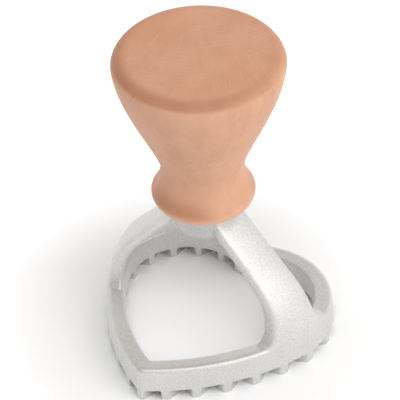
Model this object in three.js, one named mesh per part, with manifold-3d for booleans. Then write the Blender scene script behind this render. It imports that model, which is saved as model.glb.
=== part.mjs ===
// A heart-shaped ravioli cutter: a cast aluminium cutting ring with two arms and a boss,
// and a turned beech knob that a wood screw and its washer hold on the boss.
// Millimetres, +Z up. The origin is under the middle of the heart, on the plane of the tooth
// tips. The heart's point is towards -Y and its cleft towards +Y.
import * as THREE from 'three';
import { mergeVertices, toCreasedNormals } from 'three/addons/utils/BufferGeometryUtils.js';
import Module from 'manifold-3d';

// Heart outline, seen from above, at the foot of the band's outer wall
const HEART_WIDTH = 69;
const HEART_LENGTH = 66.6; // from the rounded point to the top of the lobes
const LOBE_RADIUS = 22.7;
const SIDE_RADIUS = 69.5; // the long curve from a lobe to the point
const CLEFT_RADIUS = 5.5;
const POINT_RADIUS = 2.4;
const INNER_POINT_RADIUS = 1.2;

// Band
const BAND_WIDTH = 5.4; // at its foot
const BAND_TOP = 11; // above the tooth tips
const BAND_TOP_FALL = 0.3; // how much lower the top is at its inner edge
const BAND_DRAFT = 0.5; // how far the outer wall leans in towards its top
const BAND_OUTER_ROUND = 0.9;
const BAND_INNER_ROUND = 0.4;

// Teeth: a zigzag wall under the band
const TOOTH_HEIGHT = 3.4;
const TOOTH_PITCH = 8.4; // along the band's mid-line, rounded to a whole number of teeth
const POINT_TOOTH_PITCH = 6.6; // from the tooth on the point to its neighbours
const CLEFT_TOOTH_PITCH = 7; // from the tooth on the cleft to its neighbours
const TOOTH_LAND = 1.9; // flat at each peak of the zigzag
const TOOTH_WALL = 1.9; // from the outer to the inner face, across the band

// Boss, where the arms meet under the handle
const AXIS_FROM_POINT = 36.9; // the handle's axis, from the heart's point
const SEAT_HEIGHT = 47.2; // the boss's top face, above the tooth tips
const BOSS_RADIUS = 8.4;
const BOSS_HEIGHT = 7.9;
const BOSS_CHAMFER = 0.8;

// Arms
const ARM_WIDTH = 11.5;
const ARM_THICKNESS = 3;
const ARM_BEND_RADIUS = 29; // where the arm turns in over the ring
const ARM_FOOT_LEAN = 7; // degrees its outer face leans in where it leaves the band
const ARM_FOOT_FILLET = 8;
const ARM_FOOT_INSET = 0.05; // the arm's foot stands back this far inside the band
const ARM_TOP_DROP = 2.6; // its outer face meets the boss this far under the seat

// Handle, heights from its seat
const HANDLE_HEIGHT = 52.2;
const HANDLE_FOOT_RADIUS = 10.2;
const COLLAR_RADIUS = 14.65;
const COLLAR_HEIGHT = 4.8; // where the collar is widest
const COLLAR_UNDERCUT = 0.27; // share of its height that its underside has risen by half-way out
const COLLAR_CROWN = 0.12; // share of the way to the neck that the collar stays full
const NECK_RADIUS = 11.8;
const NECK_HEIGHT = 13.7; // where the neck is narrowest
const NECK_HOLLOW = 0.65; // share of the way to the collar that the neck stays narrow
const FLARE_START = 0.18; // share of the way to the knob that the neck stays narrow
const FLARE_END = 0.35; // share of the way to the neck that the knob stays wide
const FLARE_LEAN = 0.09; // share of its spread that is left to the knob's widest place
const KNOB_RADIUS = 24;
const KNOB_HEIGHT = 48.9; // where the knob is widest
const KNOB_TOP_RADIUS = 20.7; // the flat on its top

// Wood screw and washer
const SCREW_LENGTH = 32; // under the head
const SCREW_PLAIN_LENGTH = 8; // shank without thread, under the head
const SCREW_CREST_RADIUS = 2.5;
const SCREW_CORE_RADIUS = 1.6;
const SCREW_PITCH = 2.5;
const SCREW_TIP_LENGTH = 5;
const SCREW_TIP_RADIUS = 0.4;
const SCREW_HEAD_RADIUS = 4.6;
const SCREW_HEAD_HEIGHT = 3;
const DRIVE_SLOT_LENGTH = 5.6;
const DRIVE_SLOT_WIDTH = 1.1;
const DRIVE_SLOT_DEPTH = 1.8;
const WASHER_RADIUS = 5;
const WASHER_THICKNESS = 1;
const COUNTERBORE_DEPTH = 3;
const CLEARANCE = 0.35; // around the screw and the washer

// Facets
const POINT_STEPS = 4;
const SIDE_STEPS = 14;
const LOBE_STEPS = 26;
const CLEFT_STEPS = 5;
const ROUND_STEPS = 3;
const ARM_BEND_STEPS = 12;
const ARM_CROSS_STEPS = 6;
const TURNED_SIDES = 48;
const HANDLE_CURVE_STEPS = 7;
const THREAD_SIDES = 12;
const THREAD_ROWS = 6; // for each turn
const CREASE_ANGLE = Math.PI / 6;

const AXIS_Y = AXIS_FROM_POINT - HEART_LENGTH / 2;
const ARM_FOOT_HEIGHT = BAND_TOP - BAND_OUTER_ROUND;
const BOSS_BOTTOM = SEAT_HEIGHT - BOSS_HEIGHT;
const WASHER_SEAT = BOSS_BOTTOM + COUNTERBORE_DEPTH;
const HEAD_SEAT = WASHER_SEAT - WASHER_THICKNESS;
const HOLE_RADIUS = SCREW_CREST_RADIUS + CLEARANCE;

const ALUMINIUM = new THREE.MeshStandardMaterial({ color: 0xc9c7c3, roughness: 0.55, metalness: 0.9 });
const BEECH = new THREE.MeshStandardMaterial({ color: 0xd9a67e, roughness: 0.5, metalness: 0 });
const STEEL = new THREE.MeshStandardMaterial({ color: 0xa9abad, roughness: 0.35, metalness: 1 });

const wasm = await Module();
wasm.setup();

// Solids

/** A closed geometry as a solid that can be joined and cut. */
function solidOf(geometry) {
  const bare = new THREE.BufferGeometry().setAttribute('position', geometry.getAttribute('position'));
  bare.setIndex(geometry.index);
  const merged = mergeVertices(bare);
  const mesh = new wasm.Mesh({
    numProp: 3,
    vertProperties: new Float32Array(merged.getAttribute('position').array),
    triVerts: new Uint32Array(merged.index.array),
  });
  return new wasm.Manifold(mesh);
}

/** A solid's surface as a geometry, with its edges sharp and its round faces smooth. */
function geometryOf(solid) {
  const mesh = solid.getMesh();
  const geometry = new THREE.BufferGeometry();
  geometry.setAttribute('position', new THREE.BufferAttribute(mesh.vertProperties, 3));
  geometry.setIndex(new THREE.BufferAttribute(mesh.triVerts, 1));
  return toCreasedNormals(geometry, CREASE_ANGLE);
}

/** Quads between neighbouring rows of points, row by row; each row is a closed loop. */
function loopFaces(rows, columns) {
  const faces = [];
  for (let row = 0; row < rows - 1; row += 1) {
    for (let column = 0; column < columns; column += 1) {
      const next = (column + 1) % columns;
      const [a, b] = [row * columns + column, row * columns + next];
      const [c, d] = [a + columns, b + columns];
      faces.push(a, b, d, a, d, c);
    }
  }
  return faces;
}

/** A solid from rows of points that climb or run along a path, with both ends capped flat. */
function loftSolid(rows) {
  const columns = rows[0].length;
  const faces = loopFaces(rows.length, columns);
  const last = (rows.length - 1) * columns;
  for (let column = 1; column < columns - 1; column += 1) {
    faces.push(0, column + 1, column);
    faces.push(last, last + column, last + column + 1);
  }
  return solidOf(pointsGeometry(rows.flat(), faces));
}

function pointsGeometry(points, faces) {
  return new THREE.BufferGeometry().setFromPoints(points).setIndex(faces);
}

/** A solid turned about the vertical axis through (0, AXIS_Y), from [radius, z] pairs. */
function turnedSolid(profile) {
  const points = profile.map(([radius, z]) => new THREE.Vector2(radius, z));
  const geometry = new THREE.LatheGeometry(points, TURNED_SIDES);
  geometry.rotateX(Math.PI / 2).translate(0, AXIS_Y, 0);
  return solidOf(geometry);
}

/** A block of a given size, centred over (0, AXIS_Y), with its bottom at a height. */
function blockSolid(width, depth, height, bottom) {
  const geometry = new THREE.BoxGeometry(width, depth, height);
  return solidOf(geometry.translate(0, AXIS_Y, bottom + height / 2));
}

// Heart outline

const LOBE_CENTRE = new THREE.Vector2(HEART_WIDTH / 2 - LOBE_RADIUS, HEART_LENGTH / 2 - LOBE_RADIUS);
const POINT_CENTRE = new THREE.Vector2(0, POINT_RADIUS - HEART_LENGTH / 2);
const SIDE_CENTRE = innerTangentCentre(LOBE_CENTRE, LOBE_RADIUS, POINT_CENTRE, POINT_RADIUS, SIDE_RADIUS);
const CLEFT_CENTRE = new THREE.Vector2(
  0,
  LOBE_CENTRE.y + Math.sqrt((LOBE_RADIUS + CLEFT_RADIUS) ** 2 - LOBE_CENTRE.x ** 2),
);

/** Centre of a large circle that two smaller ones touch from inside, on the far side of both. */
function innerTangentCentre(centreA, radiusA, centreB, radiusB, radius) {
  const span = centreB.clone().sub(centreA);
  const distance = span.length();
  const [reachA, reachB] = [radius - radiusA, radius - radiusB];
  const along = (reachA ** 2 - reachB ** 2 + distance ** 2) / (2 * distance);
  const across = Math.sqrt(reachA ** 2 - along ** 2);
  const direction = span.normalize();
  const left = new THREE.Vector2(direction.y, -direction.x);
  return centreA.clone().addScaledVector(direction, along).addScaledVector(left, across);
}

/** The right half of the outline, a given distance inside the outer one, as four arcs
 *  from the point to the cleft. */
function heartArcs(inset) {
  const pointRadius = POINT_RADIUS + (INNER_POINT_RADIUS - POINT_RADIUS) * (inset / BAND_WIDTH);
  const sideRadius = SIDE_RADIUS - inset;
  const reach = Math.sqrt((sideRadius - pointRadius) ** 2 - SIDE_CENTRE.x ** 2);
  const pointCentre = new THREE.Vector2(0, SIDE_CENTRE.y - reach);
  const sideStart = pointCentre.clone().sub(SIDE_CENTRE).angle() - 2 * Math.PI;
  const lobeStart = LOBE_CENTRE.clone().sub(SIDE_CENTRE).angle() - 2 * Math.PI;
  const lobeEnd = CLEFT_CENTRE.clone().sub(LOBE_CENTRE).angle();
  return [
    { centre: pointCentre, radius: pointRadius, from: -Math.PI / 2, to: sideStart },
    { centre: SIDE_CENTRE, radius: sideRadius, from: sideStart, to: lobeStart },
    { centre: LOBE_CENTRE, radius: LOBE_RADIUS - inset, from: lobeStart, to: lobeEnd },
    { centre: CLEFT_CENTRE, radius: CLEFT_RADIUS + inset, from: lobeEnd - Math.PI, to: -Math.PI / 2 },
  ];
}

const RIM_LENGTHS = heartArcs(BAND_WIDTH / 2).map((arc) => arc.radius * Math.abs(arc.to - arc.from));
const HALF_RIM = RIM_LENGTHS.reduce((sum, length) => sum + length);

/** The point at a distance along the band's mid-line from the heart's point, to the right if
 *  positive, and at an inset from the outer outline. */
function heartPoint(distance, inset) {
  const arcs = heartArcs(inset);
  let rest = Math.abs(distance);
  let index = 0;
  while (index < arcs.length - 1 && rest > RIM_LENGTHS[index]) {
    rest -= RIM_LENGTHS[index];
    index += 1;
  }
  const { centre, radius, from, to } = arcs[index];
  const angle = from + (to - from) * (rest / RIM_LENGTHS[index]);
  const side = distance < 0 ? -1 : 1;
  return new THREE.Vector2(side * (centre.x + radius * Math.cos(angle)), centre.y + radius * Math.sin(angle));
}

/** How far the outer outline is from the YZ plane, at a place between its point and its lobe. */
function heartHalfWidth(y) {
  const tangentY = LOBE_CENTRE.y + LOBE_RADIUS * ((LOBE_CENTRE.y - SIDE_CENTRE.y) / (SIDE_RADIUS - LOBE_RADIUS));
  const [centre, radius] = y > tangentY ? [LOBE_CENTRE, LOBE_RADIUS] : [SIDE_CENTRE, SIDE_RADIUS];
  return centre.x + Math.sqrt(radius ** 2 - (y - centre.y) ** 2);
}

/** A ring whose section, a loop of [inset, z] pairs, is carried round the outline. */
function ringSolid(distances, sectionAt) {
  const rows = distances.map((distance) =>
    sectionAt(distance).map(([inset, z]) => {
      const { x, y } = heartPoint(distance, inset);
      return new THREE.Vector3(x, y, z);
    }),
  );
  const columns = rows[0].length;
  const closed = [...rows, rows[0]];
  const faces = loopFaces(closed.length, columns).map((index) => index % (rows.length * columns));
  const outward = [];
  for (let corner = 0; corner < faces.length; corner += 3) {
    outward.push(faces[corner], faces[corner + 2], faces[corner + 1]);
  }
  return solidOf(pointsGeometry(rows.flat(), outward));
}

/** Adds the left half's places to those of the right half, in order round the outline. */
function bothSides(distances) {
  const left = distances.filter((distance) => distance > 0 && distance < HALF_RIM);
  return [...distances, ...left.reverse().map((distance) => -distance)];
}

// Cutter casting

function band() {
  const steps = [POINT_STEPS, SIDE_STEPS, LOBE_STEPS, CLEFT_STEPS];
  const distances = [0];
  steps.forEach((count, arc) => {
    const start = distances.at(-1);
    for (let step = 1; step <= count; step += 1) {
      distances.push(start + (RIM_LENGTHS[arc] * step) / count);
    }
  });
  const section = bandSection();
  return ringSolid(bothSides(distances), () => section);
}

/** Outer wall up, over the rounded edge, in across the top and down the inner wall. */
function bandSection() {
  const section = [[0, TOOTH_HEIGHT]];
  for (let step = 0; step <= ROUND_STEPS; step += 1) {
    const angle = (Math.PI / 2) * (step / ROUND_STEPS);
    section.push([
      BAND_DRAFT + BAND_OUTER_ROUND * (1 - Math.cos(angle)),
      BAND_TOP - BAND_OUTER_ROUND * (1 - Math.sin(angle)),
    ]);
  }
  const innerTop = BAND_TOP - BAND_TOP_FALL;
  section.push([BAND_WIDTH - BAND_INNER_ROUND, innerTop]);
  section.push([BAND_WIDTH, innerTop - BAND_INNER_ROUND]);
  section.push([BAND_WIDTH, TOOTH_HEIGHT]);
  return section;
}

/** Where the zigzag turns back along the right half: outer and inner peaks in turn, from an
 *  outer one on the heart's point to an outer one on the cleft. */
function zigzagTurns() {
  const run = HALF_RIM - POINT_TOOTH_PITCH - CLEFT_TOOTH_PITCH;
  const halves = 2 * Math.round(run / TOOTH_PITCH);
  const turns = [0, POINT_TOOTH_PITCH / 2];
  for (let half = 0; half <= halves; half += 1) {
    turns.push(POINT_TOOTH_PITCH + (run * half) / halves);
  }
  return [...turns, HALF_RIM - CLEFT_TOOTH_PITCH / 2, HALF_RIM];
}

/** A wall that runs to and fro under the band, with a flat at each peak. */
function teeth() {
  const depth = BAND_WIDTH - TOOTH_WALL;
  const halfLand = TOOTH_LAND / 2;
  const turns = zigzagTurns();
  const corners = new Map();
  turns.slice(0, -1).forEach((turn, index) => {
    const [peak, valley] = index % 2 ? [turns[index + 1], turn] : [turn, turns[index + 1]];
    const land = Math.sign(valley - peak) * halfLand;
    const step = (depth * land) / (valley - peak - land);
    corners.set(peak, { outer: 0, inner: 0 });
    corners.set(peak + land, { outer: 0, inner: step });
    corners.set(valley - land, { outer: depth - step, inner: depth });
    corners.set(valley, { outer: depth, inner: depth });
  });
  const distances = [...corners.keys()].sort((a, b) => a - b);
  const top = TOOTH_HEIGHT + TOOTH_WALL / 2;
  return ringSolid(bothSides(distances), (distance) => {
    const { outer, inner } = corners.get(Math.abs(distance));
    const inside = TOOTH_WALL + inner;
    return [
      [outer, 0],
      [outer, TOOTH_HEIGHT],
      [outer + BAND_DRAFT, top],
      [inside, top],
      [inside, 0],
    ];
  });
}

/** The arm's outer face in the XZ plane: out of the band's outer wall, round the bend, and
 *  straight to the boss. Each place has its outward normal and the arm's thickness there. */
function armProfile() {
  const foot = new THREE.Vector2(heartHalfWidth(AXIS_Y) - BAND_DRAFT - ARM_FOOT_INSET, ARM_FOOT_HEIGHT);
  const lean = THREE.MathUtils.degToRad(ARM_FOOT_LEAN);
  const footNormal = new THREE.Vector2(Math.cos(lean), Math.sin(lean));
  const centre = foot.clone().addScaledVector(footNormal, -ARM_BEND_RADIUS);
  const toBoss = new THREE.Vector2(BOSS_RADIUS, SEAT_HEIGHT - ARM_TOP_DROP).sub(centre);
  const turn = toBoss.angle() - Math.acos(ARM_BEND_RADIUS / toBoss.length());
  const footThickness = BAND_WIDTH - BAND_DRAFT - 2 * ARM_FOOT_INSET;
  const places = [];
  for (let step = 0; step <= ARM_BEND_STEPS; step += 1) {
    const share = step / ARM_BEND_STEPS;
    const angle = lean + (turn - lean) * share;
    const normal = new THREE.Vector2(Math.cos(angle), Math.sin(angle));
    places.push({
      outer: centre.clone().addScaledVector(normal, ARM_BEND_RADIUS),
      normal,
      thickness: footThickness + (ARM_THICKNESS - footThickness) * share,
    });
  }
  const { outer: bendEnd, normal, thickness } = places.at(-1);
  const slope = new THREE.Vector2(-normal.y, normal.x);
  const length = bendEnd.x / normal.y;
  places.push({ outer: bendEnd.clone().addScaledVector(slope, length), normal, thickness });
  return places;
}

/** Half the arm's width at a height: it spreads in a quarter round where it meets the band. */
function armHalfWidth(z) {
  const fillet = ARM_FOOT_FILLET;
  const base = BAND_TOP - BAND_TOP_FALL - ARM_FOOT_INSET;
  const above = Math.min(Math.max(z - base, 0), fillet);
  return ARM_WIDTH / 2 + fillet - Math.sqrt(fillet ** 2 - (fillet - above) ** 2);
}

/** The right arm. At its foot its faces follow the heart's outline, and they straighten out
 *  towards the boss. */
function rightArm() {
  const axisHalfWidth = heartHalfWidth(AXIS_Y);
  const rows = armProfile().map(({ outer, normal, thickness }) => {
    const inner = outer.clone().addScaledVector(normal, -thickness);
    const follow = Math.cbrt(Math.max((SEAT_HEIGHT - outer.y) / (SEAT_HEIGHT - ARM_FOOT_HEIGHT), 0));
    const acrossFace = (face, from, to) => {
      const points = [];
      for (let step = 0; step <= ARM_CROSS_STEPS; step += 1) {
        const y = AXIS_Y + from + (to - from) * (step / ARM_CROSS_STEPS);
        const shift = follow * (axisHalfWidth - heartHalfWidth(y));
        points.push(new THREE.Vector3(face.x - shift, y, face.y));
      }
      return points;
    };
    const half = armHalfWidth(outer.y);
    const innerHalf = armHalfWidth(inner.y);
    return [...acrossFace(outer, -half, half), ...acrossFace(inner, innerHalf, -innerHalf)];
  });
  return loftSolid(rows);
}

function boss() {
  return turnedSolid([
    [0, BOSS_BOTTOM],
    [BOSS_RADIUS - BOSS_CHAMFER, BOSS_BOTTOM],
    [BOSS_RADIUS, BOSS_BOTTOM + BOSS_CHAMFER],
    [BOSS_RADIUS, SEAT_HEIGHT + BOSS_CHAMFER],
    [0, SEAT_HEIGHT + BOSS_CHAMFER],
  ]);
}

/** The screw's stepped hole through the boss, wide at the bottom for the washer and the head. */
function bossHole() {
  const pocket = WASHER_RADIUS + CLEARANCE;
  return turnedSolid([
    [0, BOSS_BOTTOM - BOSS_HEIGHT],
    [pocket, BOSS_BOTTOM - BOSS_HEIGHT],
    [pocket, WASHER_SEAT],
    [HOLE_RADIUS, WASHER_SEAT],
    [HOLE_RADIUS, SEAT_HEIGHT + BOSS_HEIGHT],
    [0, SEAT_HEIGHT + BOSS_HEIGHT],
  ]);
}

function cutterCasting() {
  const right = rightArm();
  const left = right.mirror([1, 0, 0]);
  const facing = blockSolid(2 * HEART_WIDTH, 2 * HEART_LENGTH, SEAT_HEIGHT, SEAT_HEIGHT);
  return band().add(teeth()).add(right).add(left).add(boss()).subtract(facing).subtract(bossHole());
}

// Handle

/** A turned outline: rounded collar, waist, long flare and rounded shoulder, with a flat top. */
function handleProfile() {
  const at = (radius, height) => new THREE.Vector2(radius, SEAT_HEIGHT + height);
  const waist = NECK_HEIGHT - COLLAR_HEIGHT;
  const flare = KNOB_HEIGHT - NECK_HEIGHT;
  const lean = FLARE_LEAN * (KNOB_RADIUS - NECK_RADIUS);
  const shoulder = HANDLE_HEIGHT - KNOB_HEIGHT;
  const curves = [
    new THREE.CubicBezierCurve(
      at(HANDLE_FOOT_RADIUS, 0),
      at((HANDLE_FOOT_RADIUS + COLLAR_RADIUS) / 2, COLLAR_UNDERCUT * COLLAR_HEIGHT),
      at(COLLAR_RADIUS, COLLAR_HEIGHT / 2),
      at(COLLAR_RADIUS, COLLAR_HEIGHT),
    ),
    new THREE.CubicBezierCurve(
      at(COLLAR_RADIUS, COLLAR_HEIGHT),
      at(COLLAR_RADIUS, COLLAR_HEIGHT + COLLAR_CROWN * waist),
      at(NECK_RADIUS, NECK_HEIGHT - NECK_HOLLOW * waist),
      at(NECK_RADIUS, NECK_HEIGHT),
    ),
    new THREE.CubicBezierCurve(
      at(NECK_RADIUS, NECK_HEIGHT),
      at(NECK_RADIUS, NECK_HEIGHT + FLARE_START * flare),
      at(KNOB_RADIUS - lean, KNOB_HEIGHT - FLARE_END * flare),
      at(KNOB_RADIUS, KNOB_HEIGHT),
    ),
    new THREE.CubicBezierCurve(
      at(KNOB_RADIUS, KNOB_HEIGHT),
      at(KNOB_RADIUS, KNOB_HEIGHT + shoulder / 2),
      at((KNOB_TOP_RADIUS + KNOB_RADIUS) / 2, HANDLE_HEIGHT),
      at(KNOB_TOP_RADIUS, HANDLE_HEIGHT),
    ),
  ];
  const outline = curves.flatMap((curve, index) => curve.getPoints(HANDLE_CURVE_STEPS).slice(index ? 1 : 0));
  return [
    [0, SEAT_HEIGHT],
    ...outline.map(({ x, y }) => [x, y]),
    [0, SEAT_HEIGHT + HANDLE_HEIGHT],
  ];
}

/** The screw's shank: a plain stretch, a helical thread and a tapered tip, all made wider by
 *  a margin. The thread's ridge takes half of each pitch and fades out at both ends. */
function shankSolid(margin) {
  const threadLength = SCREW_LENGTH - SCREW_PLAIN_LENGTH;
  const rowCount = Math.ceil((threadLength / SCREW_PITCH) * THREAD_ROWS);
  const rows = [circleRow(SCREW_CORE_RADIUS + margin, HEAD_SEAT)];
  for (let row = 0; row <= rowCount; row += 1) {
    const along = (threadLength * row) / rowCount;
    const fromTip = threadLength - along;
    const taper = Math.min(fromTip / SCREW_TIP_LENGTH, 1);
    const core = SCREW_TIP_RADIUS + (SCREW_CORE_RADIUS - SCREW_TIP_RADIUS) * taper;
    const ridge = (SCREW_CREST_RADIUS - SCREW_CORE_RADIUS) * taper * Math.min(along / SCREW_PITCH, 1);
    const z = HEAD_SEAT + SCREW_PLAIN_LENGTH + along;
    rows.push(
      circleRow((turn) => {
        const phase = along / SCREW_PITCH - turn;
        const fromRoot = Math.abs(phase - Math.floor(phase) - 0.5);
        return core + margin + ridge * Math.max(1 - 4 * fromRoot, 0);
      }, z),
    );
  }
  if (margin > 0) {
    rows.push(circleRow(SCREW_TIP_RADIUS + margin, HEAD_SEAT + SCREW_LENGTH + margin));
  }
  return loftSolid(rows);
}

/** A ring of points round the handle's axis; the radius may be a function of the turn, 0 to 1. */
function circleRow(radius, z) {
  const points = [];
  for (let side = 0; side < THREAD_SIDES; side += 1) {
    const turn = side / THREAD_SIDES;
    const reach = typeof radius === 'function' ? radius(turn) : radius;
    const angle = 2 * Math.PI * turn;
    points.push(new THREE.Vector3(reach * Math.cos(angle), AXIS_Y + reach * Math.sin(angle), z));
  }
  return points;
}

function handleKnob() {
  return turnedSolid(handleProfile()).subtract(shankSolid(CLEARANCE));
}

// Screw and washer

/** A round head under a flat bearing face, with a cross slot in it, and the shank above. */
function handleScrew() {
  const bottom = HEAD_SEAT - SCREW_HEAD_HEIGHT;
  const head = turnedSolid([
    [0, bottom],
    [0.6 * SCREW_HEAD_RADIUS, bottom],
    [0.9 * SCREW_HEAD_RADIUS, HEAD_SEAT - 0.6 * SCREW_HEAD_HEIGHT],
    [SCREW_HEAD_RADIUS, HEAD_SEAT - 0.2 * SCREW_HEAD_HEIGHT],
    [SCREW_HEAD_RADIUS, HEAD_SEAT],
    [0, HEAD_SEAT],
  ]);
  const slotBottom = bottom - DRIVE_SLOT_DEPTH;
  const slot = blockSolid(DRIVE_SLOT_LENGTH, DRIVE_SLOT_WIDTH, 2 * DRIVE_SLOT_DEPTH, slotBottom);
  const cross = slot.add(blockSolid(DRIVE_SLOT_WIDTH, DRIVE_SLOT_LENGTH, 2 * DRIVE_SLOT_DEPTH, slotBottom));
  return head.add(shankSolid(0)).subtract(cross);
}

function screwWasher() {
  return turnedSolid([
    [HOLE_RADIUS, HEAD_SEAT],
    [WASHER_RADIUS, HEAD_SEAT],
    [WASHER_RADIUS, WASHER_SEAT],
    [HOLE_RADIUS, WASHER_SEAT],
    [HOLE_RADIUS, HEAD_SEAT],
  ]);
}

// Assembly

function piece(name, solid, material) {
  const mesh = new THREE.Mesh(geometryOf(solid), material);
  mesh.name = name;
  return mesh;
}

const ravioliCutter = new THREE.Group();
ravioliCutter.name = 'ravioli_cutter';
ravioliCutter.add(
  piece('cutter_casting', cutterCasting(), ALUMINIUM),
  piece('handle_knob', handleKnob(), BEECH),
  piece('handle_screw', handleScrew(), STEEL),
  piece('screw_washer', screwWasher(), STEEL),
);

export default ravioliCutter;
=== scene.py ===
"""Heart-shaped ravioli cutter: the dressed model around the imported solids.

A cast aluminium heart with a zigzag cutting edge, two arms that meet in a boss, and a turned beech knob
that a screw and a washer hold from below. Lengths are in metres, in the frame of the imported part.
"""
from math import acos, atan2, cos, hypot, pi, radians, sin, sqrt

import bpy
import numpy as np
from bpy.props import FloatProperty, FloatVectorProperty, IntProperty, PointerProperty
from bpy.types import Operator, Panel, PropertyGroup
from mathutils import Matrix, Vector


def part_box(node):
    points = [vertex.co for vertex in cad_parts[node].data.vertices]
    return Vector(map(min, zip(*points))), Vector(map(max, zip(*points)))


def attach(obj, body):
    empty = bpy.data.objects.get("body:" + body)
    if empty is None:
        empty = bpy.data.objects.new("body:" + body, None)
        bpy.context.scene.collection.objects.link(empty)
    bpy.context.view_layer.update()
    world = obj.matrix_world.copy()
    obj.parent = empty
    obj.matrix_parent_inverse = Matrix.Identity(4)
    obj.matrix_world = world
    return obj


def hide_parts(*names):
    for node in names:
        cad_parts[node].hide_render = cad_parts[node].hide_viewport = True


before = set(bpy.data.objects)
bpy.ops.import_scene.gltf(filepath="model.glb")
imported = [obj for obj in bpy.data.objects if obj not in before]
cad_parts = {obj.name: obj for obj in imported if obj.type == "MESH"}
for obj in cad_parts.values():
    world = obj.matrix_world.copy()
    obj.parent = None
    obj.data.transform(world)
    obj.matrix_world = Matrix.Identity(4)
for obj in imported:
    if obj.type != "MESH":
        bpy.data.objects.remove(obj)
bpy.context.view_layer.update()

bl_info = {
    "name": "Ravioli cutter",
    "version": (1, 0, 0),
    "blender": (4, 5, 0),
    "location": "View3D > Sidebar > Ravioli cutter",
    "description": "Builds a heart-shaped ravioli cutter with a turned beech knob",
    "category": "Add Mesh",
}

MM = 0.001
CASTING_LOW, CASTING_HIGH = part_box("cutter_casting")
KNOB_LOW, KNOB_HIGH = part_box("handle_knob")
WASHER_LOW, WASHER_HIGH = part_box("screw_washer")
AXIS_Y = (KNOB_LOW.y + KNOB_HIGH.y) / 2
SEAT_HEIGHT = CASTING_HIGH.z

# Points round the band, the teeth, the boss and the knob, and the widest gap along a carried section.
BAND_STEPS, TOOTH_STEPS, BOSS_STEPS, KNOB_STEPS = 720, 1600, 180, 192
SECTION_STEP = 0.6 * MM

# Points up an arm's face: sunk in the band, on the bend, and straight up to the boss.
SUNK_STEPS, BEND_STEPS, STRAIGHT_STEPS = 11, 60, 29

# Points along the knob's profile: under the collar, over it, up the flare, over the rim, the top, the bore.
UNDER_STEPS, COLLAR_STEPS, FLARE_STEPS, RIM_STEPS, TOP_STEPS, BORE_STEPS = 18, 26, 44, 18, 16, 8

# Handles of the knob's curves, as shares of the rise or the spread between their ends.
COLLAR_UNDERCUT, COLLAR_CROWN, NECK_HOLLOW = 0.27, 0.12, 0.65
FLARE_START, FLARE_END, FLARE_LEAN = 0.18, 0.35, 0.09

# How deep an arm is sunk in the band, and how near the axis it ends, inside the boss.
ARM_SINK, ARM_STOP = 4.0 * MM, 5.6 * MM

# The largest share of an arm's thickness that the round of an edge takes up.
EDGE_SHARE = 0.3

# Room behind an arm's foot and round the washer, and the bevel at the tips of the teeth.
FOOT_ROOM, WASHER_ROOM, TIP_BEVEL = 0.1 * MM, 0.35 * MM, 0.15 * MM

# How far each softening pass moves the skin, and where above the band the further passes set in.
SOFT_SHARE, JOINT_START, JOINT_BLEND = 0.5, 0.5 * MM, 2.0 * MM

# The floor from its middle to its edge, and squares along each side of it.
FLOOR_REACH, FLOOR_SQUARES = 3.0, 4

# Shift that counts places from the pith of the beech, and how slowly its rings change along the grain.
PITH_SHIFT, GRAIN_STRETCH = (0.018, -0.033, 0.0), (1.0, 1.0, 0.12)

# Cells of noise per metre, across and along the grain, and of ray noise round the pith and away from it.
FIBRE_CELLS, STREAK_CELLS = (2100.0, 2100.0, 75.0), (190.0, 190.0, 13.0)
FLECK_CELLS, RAY_CELLS = (430.0, 430.0, 260.0), (700.0, 110.0)

# Sides of the knob where its rim is darkest, and where painted shade makes its collar darker and redder.
DARK_RIM_SIDE, SHADED_COLLAR_SIDE = (-0.2, -0.98, 0.0), (-0.03, -1.0, 0.0)


def measure(name, description, millimetres):
    """A size that a user may change, kept in metres."""
    return FloatProperty(
        name=name, description=description, default=millimetres * MM, min=0.0, precision=5,
        subtype="DISTANCE", unit="LENGTH",
    )


def angle(name, description, degrees):
    """An angle that a user may change, kept in radians."""
    return FloatProperty(name=name, description=description, default=radians(degrees), subtype="ANGLE")


def amount(name, description, value):
    """A plain amount, such as a share of white, that a user may change."""
    return FloatProperty(name=name, description=description, default=value, min=0.0)


def whole(name, description, value):
    """A whole number that a user may change."""
    return IntProperty(name=name, description=description, default=value, min=0)


def colour(name, description, value):
    """A linear colour that a user may change."""
    return FloatVectorProperty(
        name=name, description=description, default=value, size=3, min=0.0, max=1.0, subtype="COLOR",
    )


class HeartSizes(PropertyGroup):
    """Arcs of the heart, measured at the foot of the band's outer wall."""

    width: measure("Width", "Heart across its lobes", (CASTING_HIGH.x - CASTING_LOW.x) / MM)
    length: measure("Length", "Heart from its point to its lobes", (CASTING_HIGH.y - CASTING_LOW.y) / MM)
    lobe_radius: measure("Lobe radius", "Round of each lobe", 22.7)
    side_radius: measure("Side radius", "Long curve from a lobe to the point", 69.5)
    cleft_radius: measure("Cleft radius", "Round of the cleft between the lobes", 5.5)
    point_radius: measure("Point radius", "Round of the point outside", 2.4)
    inner_point_radius: measure("Inner point radius", "Round of the point inside", 1.2)


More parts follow.
